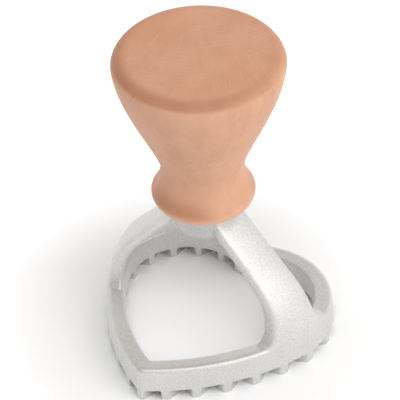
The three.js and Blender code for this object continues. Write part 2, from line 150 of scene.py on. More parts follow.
class CastingSizes(PropertyGroup):
    """Band, teeth, arms and boss of the casting."""

    band_width: measure("Band width", "Band from outside to inside at its foot", 5.4)
    band_top: measure("Band top", "Height of the band's top", 11.0)
    band_top_fall: measure("Band top fall", "How much lower the top is at its inner edge", 0.3)
    band_draft: measure("Band draft", "How far the outer wall leans in by its top", 0.5)
    band_outer_round: measure("Outer round", "Round of the outer top edge", 1.35)
    band_inner_round: measure("Inner round", "Round of the inner top edge", 0.3)
    tooth_height: measure("Tooth height", "Height of the zigzag teeth", 3.4)
    tooth_pitch: measure("Tooth pitch", "Distance between teeth", 8.4)
    point_tooth_pitch: measure("Point tooth pitch", "Distance of the first tooth from the point", 6.6)
    cleft_tooth_pitch: measure("Cleft tooth pitch", "Distance of the last tooth from the cleft", 7.0)
    tooth_land: measure("Tooth land", "Flat at the top of each zigzag", 1.9)
    tooth_wall: measure("Tooth wall", "Thickness of the zigzag wall", 1.9)
    arm_width: measure("Arm width", "Width of an arm", 11.5)
    arm_thickness: measure("Arm thickness", "Thickness of an arm above its bend", 3.0)
    arm_bend_radius: measure("Arm bend radius", "Bend of an arm's outer face", 29.0)
    arm_foot_fillet: measure("Arm foot fillet", "Fillet behind an arm, to the band's top", 6.0)
    arm_front_flare: measure("Arm front flare", "How far an arm widens forwards at its foot", 6.0)
    arm_front_rise: measure("Arm front rise", "Height above the band at which the front flare starts", 26.0)
    arm_foot_inset: measure("Arm foot inset", "Arm foot behind the band's outer wall", 0.05)
    arm_top_drop: measure("Arm top drop", "Top of an arm below the seat, at the boss", 2.6)
    arm_edge_round: measure("Arm edge round", "Round of an arm's edges", 0.8)
    arm_outer_softness: amount("Arm outer softness", "Further round of an arm's front outer edge", 2.4)
    arm_foot_lean: angle("Arm foot lean", "Lean of an arm at its foot", 7.0)
    boss_radius: measure("Boss radius", "Radius of the boss under the knob", 8.4)
    boss_height: measure("Boss height", "Height of the boss", 7.9)
    boss_chamfer: measure("Boss chamfer", "Bevel under the boss", 0.8)
    screw_hole_radius: measure("Screw hole radius", "Hole through the boss", 2.85)
    skin_size: measure("Skin size", "Grid of the cast skin", 0.25)
    skin_passes: whole("Skin passes", "Softening passes of the cast edges", 4)
    joint_passes: whole("Joint passes", "Further passes above the band", 8)
    skin_faces: whole("Skin faces", "Triangles that the skin is thinned to", 180000)


class KnobSizes(PropertyGroup):
    """Turned profile of the knob, heights above its foot."""

    foot_radius: measure("Foot radius", "Radius of the foot on the boss", 10.2)
    collar_radius: measure("Collar radius", "Widest part of the collar", 14.65)
    collar_height: measure("Collar height", "Height of the collar's widest part", 4.8)
    neck_radius: measure("Neck radius", "Narrowest part of the neck", 11.8)
    neck_height: measure("Neck height", "Height of the neck", 13.7)
    knob_radius: measure("Knob radius", "Widest part of the knob", (KNOB_HIGH.x - KNOB_LOW.x) / 2 / MM)
    knob_height: measure("Knob height", "Height of the knob's widest part", 48.9)
    height: measure("Height", "Height of the knob's top", (KNOB_HIGH.z - KNOB_LOW.z) / MM)
    top_radius: measure("Top radius", "Flat of the top inside its rim", 20.7)
    top_crown: measure("Top crown", "How much the top falls towards its rim", 0.1)
    bore_radius: measure("Bore radius", "Bore for the screw", 2.6)
    bore_depth: measure("Bore depth", "Depth of the bore", 26.6)


class Finishes(PropertyGroup):
    """Colours of the finishes."""

    aluminium_pale: colour("Aluminium, pale", "Pale tone of the cast aluminium", (0.725, 0.717, 0.703))
    aluminium_dull: colour("Aluminium, dull", "Dull tone of the cast aluminium", (0.573, 0.563, 0.549))
    # Painted shade: a dark tone for the casting's corners, its tooth hollows and the boss under the collar.
    aluminium_painted_shade: colour("Aluminium, painted shade", "Painted shade in the corners of the casting and under the collar", (0.22, 0.215, 0.21))
    beech_pale: colour("Beech, pale", "Early wood", (0.69, 0.382, 0.248))
    beech_dark: colour("Beech, dark", "Late wood", (0.56, 0.285, 0.175))
    beech_fleck: colour("Beech, fleck", "Short darker flecks along the grain", (0.40, 0.19, 0.115))
    beech_end: colour("Beech, end grain", "End grain on the top", (0.56, 0.25, 0.132))
    # Darker tone of the rim, also used as painted shade on the front of the collar.
    beech_rim_and_shade: colour("Beech, rim", "Darker rim of the knob, and painted shade on its collar", (0.46, 0.205, 0.115))
    # Painted light: a paler tone for the under side of the collar, as light from the floor would make it.
    beech_lip_light: colour("Beech, lip", "Painted light on the lip under the collar", (0.76, 0.43, 0.288))
    zinc_pale: colour("Zinc, pale", "Pale tone of the plated steel", (0.66, 0.66, 0.67))
    zinc_dull: colour("Zinc, dull", "Dull tone of the plated steel", (0.50, 0.50, 0.52))


class StageSettings(PropertyGroup):
    """Camera, floor and light. Azimuths count to the right of the heart's point."""

    azimuth: angle("Azimuth", "Camera to the right of the point", 33.514)
    elevation: angle("Elevation", "Camera above the floor", 40.558)
    roll: angle("Roll", "Turn of the picture", -2.321)
    distance: measure("Distance", "Camera from its aim", 871.3)
    lens: FloatProperty(
        name="Lens", description="Focal length on a 36 mm sensor", default=265.4,
        subtype="DISTANCE_CAMERA", unit="CAMERA",
    )
    aim: FloatVectorProperty(
        name="Aim", description="Point at the middle of the picture", default=(-0.01836, 0.02931, 0.02025),
        size=3, subtype="TRANSLATION", unit="LENGTH",
    )
    floor: colour("Floor", "Plain pale floor", (0.97, 0.97, 0.97))
    floor_lift: amount("Floor lift", "Glow of the floor away from the cutter", 0.19)
    # Painted light: a glow of the floor inside the ring.
    ring_painted_light: amount("Ring painted light", "Painted light on the floor in the middle of the ring", 0.05)
    floor_shine: amount("Floor shine", "Further white of the floor that the metal mirrors", 0.12)
    backdrop_light: amount("Backdrop light", "Further white behind the cutter that the metal mirrors", 0.35)
    backdrop_azimuth: angle("Backdrop azimuth", "Side of the white backdrop", 214.0)
    horizon_light: amount("Horizon light", "Studio light near the floor", 0.58)
    zenith_light: amount("Zenith light", "Studio light overhead", 0.5)
    bright_light: amount("Bright light", "Further studio light from the bright side", 0.75)
    bright_azimuth: angle("Bright azimuth", "Bright side of the studio", 195.0)
    lamp_distance: measure("Lamp distance", "Lamps from the cutter", 1600.0)
    key_share: amount("Key share", "Brightness that the key lamp adds on the floor", 0.2)
    key_size: measure("Key size", "Side of the key lamp", 700.0)
    key_azimuth: angle("Key azimuth", "Key lamp to the right of the point", 30.0)
    key_elevation: angle("Key elevation", "Key lamp above the floor", 64.0)
    side_share: amount("Side share", "Brightness that the side lamp adds on the floor", 0.24)
    side_size: measure("Side size", "Side of the side lamp", 1200.0)
    side_azimuth: angle("Side azimuth", "Side lamp to the right of the point", 84.0)
    side_elevation: angle("Side elevation", "Side lamp above the floor", 34.0)


class Heart:
    """Plan of the heart, as four arcs on each side: point, side, lobe and cleft, each tangent to the next.

    A place is a distance along the line half-way across the band and an inset from the outline. Distance
    counts from the point, to the right above zero and to the left below it, and half_run is at the cleft.
    """

    def __init__(self, sizes, band_width):
        self.sizes, self.band_width = sizes, band_width
        self.lobe = (sizes.width / 2 - sizes.lobe_radius, sizes.length / 2 - sizes.lobe_radius)
        point = (0.0, sizes.point_radius - sizes.length / 2)
        self.side = self.inside_both(
            self.lobe, sizes.side_radius - sizes.lobe_radius, point, sizes.side_radius - sizes.point_radius
        )
        reach = sizes.lobe_radius + sizes.cleft_radius
        self.cleft = (0.0, self.lobe[1] + sqrt(reach * reach - self.lobe[0] ** 2))
        middle = self.arcs(band_width / 2)
        lengths = [float(radius * abs(end - start)) for _, radius, start, end in middle]
        self.runs = np.cumsum([0.0] + lengths)
        self.half_run = self.runs[-1]

    @staticmethod
    def inside_both(first, first_reach, second, second_reach):
        """Left-hand centre of the circle at first_reach from one centre and second_reach from another."""
        across, along = second[0] - first[0], second[1] - first[1]
        gap = hypot(across, along)
        run = (gap * gap + first_reach * first_reach - second_reach * second_reach) / (2 * gap)
        rise = sqrt(first_reach * first_reach - run * run)
        across, along = across / gap, along / gap
        return min(
            (first[0] + across * run - hand * along * rise, first[1] + along * run + hand * across * rise)
            for hand in (1, -1)
        )

    def arcs(self, inset):
        """Centre, radius and angles of the four arcs at an inset, which may be an array."""
        sizes, inset = self.sizes, np.asarray(inset, dtype=float)
        share = inset / self.band_width
        point_radius = sizes.point_radius + (sizes.inner_point_radius - sizes.point_radius) * share
        reach = sizes.side_radius - inset - point_radius
        point_y = self.side[1] - np.sqrt(reach * reach - self.side[0] ** 2)
        side_start = np.arctan2(point_y - self.side[1], -self.side[0])
        side_end = atan2(self.lobe[1] - self.side[1], self.lobe[0] - self.side[0])
        cleft_start = atan2(self.cleft[1] - self.lobe[1], self.cleft[0] - self.lobe[0])
        zero = np.zeros_like(inset)
        side, lobe, cleft = ((zero + x, zero + y) for x, y in (self.side, self.lobe, self.cleft))
        return [
            ((zero, point_y), point_radius, zero - pi / 2, side_start),
            (side, sizes.side_radius - inset, side_start, zero + side_end),
            (lobe, sizes.lobe_radius - inset, zero + side_end, zero + cleft_start),
            (cleft, sizes.cleft_radius + inset, zero + cleft_start - pi, zero - pi / 2),
        ]

    def at(self, along, inset):
        """Plan places: each arc is swept evenly between its ends, and the left side mirrors the right."""
        along, inset = np.broadcast_arrays(np.asarray(along, dtype=float), np.asarray(inset, dtype=float))
        run = np.abs(along)
        places = []
        for (centre, radius, start, end), low, high in zip(self.arcs(inset), self.runs, self.runs[1:]):
            turn = start + (end - start) * np.clip((run - low) / (high - low), 0.0, 1.0)
            places.append((centre[0] + radius * np.cos(turn), centre[1] + radius * np.sin(turn)))
        which = np.clip(np.searchsorted(self.runs, run, side="right") - 1, 0, len(places) - 1)
        x, y = (np.choose(which, axis) for axis in zip(*places))
        return np.where(along < 0, -x, x), y

    def half_width(self, y):
        """Half width of the outline along its length: the lobe's circle above, the side's circle below."""
        sizes, (lobe_x, lobe_y), (side_x, side_y) = self.sizes, self.lobe, self.side
        lobe = lobe_x + np.sqrt(np.maximum(sizes.lobe_radius ** 2 - (y - lobe_y) ** 2, 0.0))
        side = side_x + np.sqrt(np.maximum(sizes.side_radius ** 2 - (y - side_y) ** 2, 0.0))
        end = lobe_y + sizes.lobe_radius * (lobe_y - side_y) / hypot(lobe_x - side_x, lobe_y - side_y)
        return np.where(y > end, lobe, side)


def loft(rows, ring=False):
    """Points and groups of faces of a closed loft: each row is a closed section, and quads join the rows.

    A ring joins the last row to the first. Otherwise both ends are closed by one face each.
    """
    count, around = rows.shape[:2]
    row = np.arange(count if ring else count - 1)[:, None]
    place = np.arange(around)
    beside = (place + 1) % around
    here, above = row * around, (row + 1) % count * around
    quads = np.stack([here + place, here + beside, above + beside, above + place], axis=-1).reshape(-1, 4)
    ends = np.stack([place[::-1], (count - 1) * around + place])
    return rows.reshape(-1, 3), [quads] if ring else [quads, ends]


def joined(shells):
    """Points and groups of faces of several shells as one, whose faces count on from shell to shell."""
    starts = np.cumsum([0] + [len(points) for points, _ in shells])
    faces = [group + start for (_, groups), start in zip(shells, starts) for group in groups]
    return np.concatenate([points for points, _ in shells]), faces


def make_piece(name, points, faces):
    """New object at the origin with its place in its mesh, from points and groups of faces."""
    mesh = bpy.data.meshes.new(name)
    mesh.from_pydata(points.tolist(), [], [face for group in faces for face in group.tolist()])
    mesh.update()
    piece = bpy.data.objects.new(name, mesh)
    bpy.context.scene.collection.objects.link(piece)
    return piece


def arc_points(centre, radius, start, end, steps):
    """Points on an arc, from one angle to another in degrees."""
    turn = np.radians(np.linspace(start, end, steps))
    return np.stack([centre[0] + radius * np.cos(turn), centre[1] + radius * np.sin(turn)], axis=-1)


def spread(corners, step):
    """Closed polyline through the corners with no gap above step, by straight interpolation."""
    ends = np.roll(corners, -1, axis=0)
    pieces = [
        np.linspace(a, b, max(2, int(np.ceil(np.hypot(*(b - a)) / step)) + 1))[:-1]
        for a, b in zip(corners, ends)
    ]
    return np.concatenate(pieces)


def carried(heart, along, inset, height):
    """Ring whose section, an inset from the outline and a height, is carried round the heart."""
    x, y = heart.at(along[:, None], inset)
    return loft(np.stack([x, y, np.broadcast_to(height, x.shape)], axis=-1), ring=True)


def band_shell(heart, sizes):
    """Band: an upright section with rounded top edges, carried round the heart."""
    outer, inner = sizes.band_outer_round, sizes.band_inner_round
    top, low = sizes.band_top, sizes.band_top - sizes.band_top_fall
    section = np.concatenate([
        [[0.0, sizes.tooth_height]],
        arc_points((sizes.band_draft + outer, top - outer), outer, 180, 90, steps=8),
        arc_points((sizes.band_width - inner, low - inner), inner, 90, 0, steps=5),
        [[sizes.band_width, sizes.tooth_height]],
    ])
    inset, height = spread(section, SECTION_STEP).T
    along = np.linspace(-heart.half_run, heart.half_run, BAND_STEPS, endpoint=False)
    return carried(heart, along, inset, height)


def tooth_turns(heart, sizes):
    """Distances of the zigzag's turns from the point to the cleft: the outward ones, then the inward ones.

    The first tooth stands on the point and the last on the cleft, and those between are evenly spaced.
    """
    first, last = sizes.point_tooth_pitch, heart.half_run - sizes.cleft_tooth_pitch
    count = round((last - first) / sizes.tooth_pitch)
    teeth = np.concatenate([[0.0], np.linspace(first, last, count + 1), [heart.half_run]])
    return teeth, (teeth[:-1] + teeth[1:]) / 2


def teeth_shell(heart, sizes):
    """Teeth: a wall whose inset swings from the outline inwards and back, with flats at each turn.

    The wall's outer side is flat at the outward turns and its inner side at the inward ones, and between
    the flats each side runs straight.
    """
    teeth, hollows = tooth_turns(heart, sizes)
    depth, half = sizes.band_width - sizes.tooth_wall, sizes.tooth_land / 2

    def side(flat, flat_value, sharp, sharp_value):
        places = np.concatenate([flat - half, flat + half, sharp])
        values = np.concatenate([np.full(2 * len(flat), flat_value), np.full(len(sharp), sharp_value)])
        order = np.argsort(places)
        return places[order], values[order]

    along = np.linspace(-heart.half_run, heart.half_run, TOOTH_STEPS, endpoint=False)
    run = np.abs(along)
    outer = np.interp(run, *side(teeth, 0.0, hollows, depth))
    inner = np.interp(run, *side(hollows, sizes.band_width, teeth, sizes.tooth_wall))
    top = sizes.tooth_height + sizes.tooth_wall / 2
    inset = np.stack([
        outer + TIP_BEVEL, outer, outer, outer + sizes.band_draft, inner, inner, inner - TIP_BEVEL
    ], axis=-1)
    height = np.array([0.0, TIP_BEVEL, sizes.tooth_height, top, top, TIP_BEVEL, 0.0])
    return carried(heart, along, inset, height)


def rounded_strip(corner_steps, face_steps):
    """Closed section of a strip with four rounded corners, as shares that a width and a depth scale.

    Each point has its share of the half width, its share of the depth, and the shares of the edge's round
    by which it stands in from the sides and from the faces.
    """
    turn = np.radians(np.linspace(0.0, 90.0, corner_steps))
    near, far = 1 - np.cos(turn), 1 - np.sin(turn)
    level = np.linspace(1.0, -1.0, face_steps)[1:-1]
    one, zero = np.ones_like(turn), np.zeros_like(turn)
    full, none = np.ones_like(level), np.zeros_like(level)
    parts = [
        (one, zero, far, near), (one, one, near, far), (level, full, full, none),
        (-one, one, far, near), (-one, zero, near, far), (-level, none, full, none),
    ]
    return np.concatenate([np.stack(part, axis=-1) for part in parts])


def arm_face(heart, sizes):
    """Outer face of an arm, side-on: points, inward normals and thickness.

    It leans in from the band's outer wall, bends on an arc, then runs straight up to the boss's rim and on
    to just inside the boss.
    """
    foot = np.array([
        float(heart.half_width(np.array(AXIS_Y))) - sizes.band_draft - sizes.arm_foot_inset,
        sizes.band_top - sizes.band_outer_round,
    ])
    rim = np.array([sizes.boss_radius, SEAT_HEIGHT - sizes.arm_top_drop])
    radius, lean = sizes.arm_bend_radius, sizes.arm_foot_lean
    centre = foot - radius * np.array([cos(lean), sin(lean)])
    reach = rim - centre
    end = atan2(reach[1], reach[0]) - acos(radius / hypot(*reach))
    turn = np.linspace(lean, end, BEND_STEPS)
    outward = np.stack([np.cos(turn), np.sin(turn)], axis=-1)
    bend = centre + radius * outward
    straight = np.array([-sin(end), cos(end)])
    rise = np.linspace(0.0, (bend[-1, 0] - ARM_STOP) / -straight[0], STRAIGHT_STEPS + 1)[1:, None]
    below = np.array([sizes.band_draft / (foot[1] - sizes.tooth_height), -1.0])
    sink = np.linspace(ARM_SINK, 0.0, SUNK_STEPS + 1)[:-1, None]
    points = np.concatenate([foot + below * sink, bend, bend[-1] + straight * rise])
    normals = np.concatenate([
        np.tile([-cos(lean), -sin(lean)], (SUNK_STEPS, 1)),
        -outward,
        np.tile([-cos(end), -sin(end)], (STRAIGHT_STEPS, 1)),
    ])
    thick = sizes.band_width - sizes.band_draft - FOOT_ROOM
    share = np.concatenate([
        np.zeros(SUNK_STEPS), np.linspace(0.0, 1.0, BEND_STEPS), np.ones(STRAIGHT_STEPS)
    ])
    return points, normals, thick + (sizes.arm_thickness - thick) * share


def arm_shell(heart, sizes, hand):
    """One arm: a strip with rounded edges, carried up its outer face and flared at its foot.

    Each section lies across the arm, and its points move in with the heart's outline where the outline
    curves away. Its half width grows towards the foot by a quarter ellipse, longer in front than behind.
    """
    points, normals, thick = arm_face(heart, sizes)
    side, deep, from_side, from_face = rounded_strip(corner_steps=6, face_steps=13).T[:, None, :]
    edge = np.minimum(sizes.arm_edge_round, thick * EDGE_SHARE)[:, None]
    depth = deep * thick[:, None] + (1 - 2 * deep) * from_face * edge
    x = points[:, None, 0] + normals[:, None, 0] * depth
    z = points[:, None, 1] + normals[:, None, 1] * depth
    above = z - (sizes.band_top - sizes.band_top_fall)

    def flare(reach, rise):
        climb = np.clip(1 - above / rise, 0.0, 1.0)
        return reach * (1 - np.sqrt(1 - climb * climb))

    front = flare(sizes.arm_front_flare, sizes.arm_front_rise)
    behind = flare(sizes.arm_foot_fillet, sizes.arm_foot_fillet)
    ahead = side < 0
    half = sizes.arm_width / 2 + np.where(ahead, front, behind)
    soft = edge * (1 + sizes.arm_outer_softness * (1 - deep) * ahead)
    y = AXIS_Y + side * (half - from_side * soft)
    foot_z = sizes.band_top - sizes.band_outer_round
    follow = np.cbrt(np.clip((SEAT_HEIGHT - z) / (SEAT_HEIGHT - foot_z), 0.0, 1.0))
    x = x - follow * (heart.half_width(np.array(AXIS_Y)) - heart.half_width(y))
    rows = np.stack([hand * x, y, np.minimum(z, SEAT_HEIGHT)], axis=-1)
    return loft(rows if hand > 0 else rows[:, ::-1])


def turned(radius, height, turn):
    """Points at a radius from the knob's axis, a height and a turn about the axis."""
    x, y = radius * np.cos(turn), AXIS_Y + radius * np.sin(turn)
    return np.stack([x, y, np.broadcast_to(height, x.shape)], axis=-1)


def boss_shell(sizes):
    """Boss: a closed profile of radius and height, turned about the upright axis.

    It has a bevel below, a pocket for the washer and a hole for the screw.
    """
    bottom = SEAT_HEIGHT - sizes.boss_height
    pocket = (WASHER_HIGH.x - WASHER_LOW.x) / 2 + WASHER_ROOM
    profile = spread(np.array([
        [sizes.screw_hole_radius, SEAT_HEIGHT],
        [sizes.screw_hole_radius, WASHER_HIGH.z],
        [pocket, WASHER_HIGH.z],
        [pocket, bottom],
        [sizes.boss_radius - sizes.boss_chamfer, bottom],
        [sizes.boss_radius, bottom + sizes.boss_chamfer],
        [sizes.boss_radius, SEAT_HEIGHT],
    ]), SECTION_STEP)
    turn = np.linspace(0.0, 2 * pi, BOSS_STEPS, endpoint=False)[:, None]
    return loft(turned(profile[:, 0], profile[:, 1], turn), ring=True)


def softened(points, edges, weight, passes):
    """Each pass moves every point towards the mean of its neighbours, by its own weight."""
    size = len(points)
    count = np.bincount(edges.ravel(), minlength=size)[:, None]
    first, second = edges.T
    for _ in range(passes):
        neighbours = np.stack([
            np.bincount(first, axis[second], size) + np.bincount(second, axis[first], size)
            for axis in points.T
        ], axis=-1)
        points = points + weight * (neighbours / count - points)
    return points


def take_shape(piece):
    """Make what the modifiers show the piece's own mesh, and give it with its points."""
    graph = bpy.context.evaluated_depsgraph_get()
    shown = bpy.data.meshes.new_from_object(piece.evaluated_get(graph))
    piece.modifiers.clear()
    former = piece.data
    piece.data = shown
    bpy.data.meshes.remove(former)
    shown.name = piece.name
    points = np.empty(len(shown.vertices) * 3)
    shown.vertices.foreach_get("co", points)
    return shown, points.reshape(-1, 3)


def put_points(mesh, points):
    """Move a mesh's points."""
    mesh.vertices.foreach_set("co", points.ravel())
    mesh.update()


def cast_skin(piece, sizes):
    """One skin over the shells: a voxel grid joins them, then the edges are softened as a casting's are.

    The teeth keep crisper edges than the arms and the boss, and the skin stays in the solid's box.
    """
    grid = piece.modifiers.new("Cast skin", "REMESH")
    grid.mode = "VOXEL"
    grid.voxel_size = sizes.skin_size
    skin, points = take_shape(piece)
    edges = np.empty(len(skin.edges) * 2, dtype=np.int32)
    skin.edges.foreach_get("vertices", edges)
    edges = edges.reshape(-1, 2)
    points = softened(points, edges, SOFT_SHARE, sizes.skin_passes)
    upper = np.clip((points[:, 2:3] - sizes.band_top - JOINT_START) / JOINT_BLEND, 0.0, 1.0)
    put_points(skin, softened(points, edges, SOFT_SHARE * upper, sizes.joint_passes))
    thin = piece.modifiers.new("Thin skin", "DECIMATE")
    thin.ratio = min(1.0, sizes.skin_faces / (2.0 * len(skin.polygons)))
    skin, points = take_shape(piece)
    put_points(skin, np.clip(points, np.array(CASTING_LOW), np.array(CASTING_HIGH)))


def bezier(points, steps):
    """Cubic curve with four control points, at even parameters."""
    t = np.linspace(0.0, 1.0, steps)[:, None]
    a, b, c, d = (np.array(point) for point in points)
    return (1 - t) ** 3 * a + 3 * (1 - t) ** 2 * t * b + 3 * (1 - t) * t * t * c + t ** 3 * d


def knob_profile(sizes):
    """Turned profile of radius and height: down the bore, then up the outside to the middle of the top.

    Four cubic curves make the collar's under side, the collar, the flare and the rim, with the solid's
    control points. The top falls evenly from its middle to its rim.
    """
    rise = sizes.neck_height - sizes.collar_height
    flare = sizes.knob_height - sizes.neck_height
    rim = sizes.height - sizes.knob_height
    neck, knob, collar, top = sizes.neck_radius, sizes.knob_radius, sizes.collar_radius, sizes.top_radius
    under = bezier([
        (sizes.foot_radius, 0.0), ((sizes.foot_radius + collar) / 2, COLLAR_UNDERCUT * sizes.collar_height),
        (collar, sizes.collar_height / 2), (collar, sizes.collar_height),
    ], UNDER_STEPS)
    bead = bezier([
        (collar, sizes.collar_height), (collar, sizes.collar_height + COLLAR_CROWN * rise),
        (neck, sizes.neck_height - NECK_HOLLOW * rise), (neck, sizes.neck_height),
    ], COLLAR_STEPS)
    bell = bezier([
        (neck, sizes.neck_height), (neck, sizes.neck_height + FLARE_START * flare),
        (knob - FLARE_LEAN * (knob - neck), sizes.knob_height - FLARE_END * flare),
        (knob, sizes.knob_height),
    ], FLARE_STEPS)
    lip = bezier([
        (knob, sizes.knob_height), (knob, sizes.knob_height + rim / 2),
        ((knob + top) / 2, sizes.height), (top, sizes.height),
    ], RIM_STEPS)
    reach = np.linspace(1.0, 0.0, TOP_STEPS)[1:-1]
    crown = np.stack([top * reach, np.full_like(reach, sizes.height)], axis=-1)
    bore = np.linspace(0.0, sizes.bore_depth, BORE_STEPS)[::-1]
    hole = np.stack([np.full_like(bore, sizes.bore_radius), bore], axis=-1)
    profile = np.concatenate([hole, under, bead[1:], bell[1:], lip[1:], crown])
    inwards = np.clip((top - profile[:, 0]) / top, 0.0, 1.0)
    profile[:, 1] -= np.where(profile[:, 1] > sizes.knob_height, sizes.top_crown * (1 - inwards), 0.0)
    return profile


def knob_shell(sizes):
    """Knob: its profile turned about the upright axis, closed by a fan at the top and at the bore's end."""
    profile = knob_profile(sizes)
    turn = np.linspace(0.0, 2 * pi, KNOB_STEPS, endpoint=False)
    points, (quads, _) = loft(turned(profile[:, :1], SEAT_HEIGHT + profile[:, 1:], turn))
    ends = np.array([[0.0, AXIS_Y, SEAT_HEIGHT + end] for end in (sizes.bore_depth, sizes.height)])
    place = np.arange(KNOB_STEPS)
    beside = (place + 1) % KNOB_STEPS
    last = len(points) - KNOB_STEPS
    bore_end = np.stack([beside, place, np.full_like(place, len(points))], axis=-1)
    top = np.stack([last + place, last + beside, np.full_like(place, len(points) + 1)], axis=-1)
    return np.concatenate([points, ends]), [quads, bore_end, top]


def add_node(tree, kind, inputs=None, **settings):
    """New node with its settings, and its sockets set to a value or linked to another socket."""
    node = tree.nodes.new(kind)
    for name, value in settings.items():
        setattr(node, name, value)
    for name, value in (inputs or {}).items():
        if isinstance(value, bpy.types.NodeSocket):
            tree.links.new(value, node.inputs[name])
        else:
            node.inputs[name].default_value = value
    return node


def math_node(tree, operation, first, *others, clamp=False):
    """Values joined one after another by a Math operation."""
    for value in others:
        node = add_node(tree, "ShaderNodeMath", {0: first, 1: value}, operation=operation, use_clamp=clamp)
        first = node.outputs[0]
    return first


def product(tree, *values):
    """Product of several values."""
    return math_node(tree, "MULTIPLY", *values)


def total(tree, *values):
    """Sum of several values."""
    return math_node(tree, "ADD", *values)


def vector_math(tree, operation, first, second=(0.0, 0.0, 0.0)):
    """Number that a Vector Math operation gives, such as a length or a dot product."""
    node = add_node(tree, "ShaderNodeVectorMath", {0: first, 1: second}, operation=operation)
    return node.outputs["Value"]


def ramp(tree, value, low, high, start=0.0, end=1.0):
    """Smooth step of a value from low to high."""
    node = add_node(
        tree, "ShaderNodeMapRange",
        {"Value": value, "From Min": low, "From Max": high, "To Min": start, "To Max": end},
        interpolation_type="SMOOTHSTEP",
    )
    return node.outputs["Result"]


def mixed(tree, factor, first, second):
    """Colour between two, each a finish or a socket: a Mix node has them at inputs 6 and 7 and output 2."""
    first, second = (
        value if isinstance(value, bpy.types.NodeSocket) else opaque(value) for value in (first, second)
    )
    return add_node(tree, "ShaderNodeMix", {0: factor, 6: first, 7: second}, data_type="RGBA").outputs[2]


def moved(tree, vector, scale, location=(0.0, 0.0, 0.0)):
    """A place that is scaled, then shifted."""
    node = add_node(tree, "ShaderNodeMapping", {"Vector": vector, "Location": location, "Scale": scale})
    return node.outputs["Vector"]


def noise(tree, vector, scale=1.0, detail=2.0, roughness=0.5):
    """Noise about a half over a place."""
    node = add_node(tree, "ShaderNodeTexNoise", {
        "Vector": vector, "Scale": scale, "Detail": detail, "Roughness": roughness
    })
    return node.outputs["Fac"]


def object_place(tree):
    """Object coordinates."""
    return add_node(tree, "ShaderNodeTexCoord").outputs["Object"]


def about_axis(tree):
    """Object coordinates, their height, their level part from the knob's axis, and its length."""
    place = object_place(tree)
    height = add_node(tree, "ShaderNodeSeparateXYZ", {"Vector": place}).outputs["Z"]
    level = moved(tree, place, (1.0, 1.0, 0.0), (0.0, -AXIS_Y, 0.0))
    return place, height, level, vector_math(tree, "LENGTH", level)


def opaque(value):
    """Colour with full alpha."""
    return (*value, 1.0)


def new_group(name, inputs, outputs):
    """Empty shader group with float inputs and outputs."""
    group = bpy.data.node_groups.new(name, "ShaderNodeTree")
    for socket, default in inputs.items():
        made = group.interface.new_socket(name=socket, in_out="INPUT", socket_type="NodeSocketFloat")
        made.default_value = default
    for socket in outputs:
        group.interface.new_socket(name=socket, in_out="OUTPUT", socket_type="NodeSocketFloat")
    return group, group.nodes.new("NodeGroupInput").outputs, group.nodes.new("NodeGroupOutput").inputs


def soft_patches(name):
    """Soft patches for slow drifts of tone: noise over Object coordinates, with its contrast raised."""
    group, given, shown = new_group(name, {"Patch size": 0.01, "Contrast": 1.0}, ["Patches"])
    scale = math_node(group, "DIVIDE", 1.0, given["Patch size"])
    away = math_node(group, "SUBTRACT", noise(group, object_place(group), scale, 3.0, 0.55), 0.5)
    away = product(group, away, given["Contrast"], 2.5)
    group.links.new(math_node(group, "ADD", away, 0.5, clamp=True), shown["Patches"])
    return group


def metal_grain(name):
    """Fine grain of a blasted or plated metal: small noise and a wider swell, for tone and height."""
    group, given, shown = new_group(
        name, {"Grain size": 0.0003, "Swell size": 0.003, "Swell share": 0.4}, ["Grain", "Height"]
    )
    place = object_place(group)
    fine = noise(group, place, math_node(group, "DIVIDE", 1.0, given["Grain size"]), 2.0, 0.6)
    wide = noise(group, place, math_node(group, "DIVIDE", 1.0, given["Swell size"]))
    swell = product(group, wide, given["Swell share"])
    group.links.new(fine, shown["Grain"])
    group.links.new(total(group, fine, swell), shown["Height"])
    return group


def use_group(tree, build, values):
    """Outputs of a shared group, built once, placed in a material with its own values."""
    name = build.__name__.replace("_", " ").capitalize()
    group = bpy.data.node_groups.get(name) or build(name)
    return add_node(tree, "ShaderNodeGroup", values, node_tree=group).outputs


def patches(tree, size, contrast):
    """Soft patches of a size in a material."""
    return use_group(tree, soft_patches, {"Patch size": size, "Contrast": contrast})["Patches"]


def grains(tree, size, swell, share):
    """Metal grain of a size, over a share of a wider swell, in a material."""
    return use_group(tree, metal_grain, {"Grain size": size, "Swell size": swell, "Swell share": share})


def new_material(name):
    """New node material: its tree and its principled shader."""
    material = bpy.data.materials.new(name)
    material.use_nodes = True
    return material, material.node_tree, material.node_tree.nodes["Principled BSDF"]


def feed_shader(tree, shader, base, roughness, bump):
    """Feed a principled shader its colour, its roughness and the normal of a bump."""
    normal = add_node(tree, "ShaderNodeBump", bump).outputs["Normal"]
    for name, value in (("Base Color", base), ("Roughness", roughness), ("Normal", normal)):
        tree.links.new(value, shader.inputs[name])


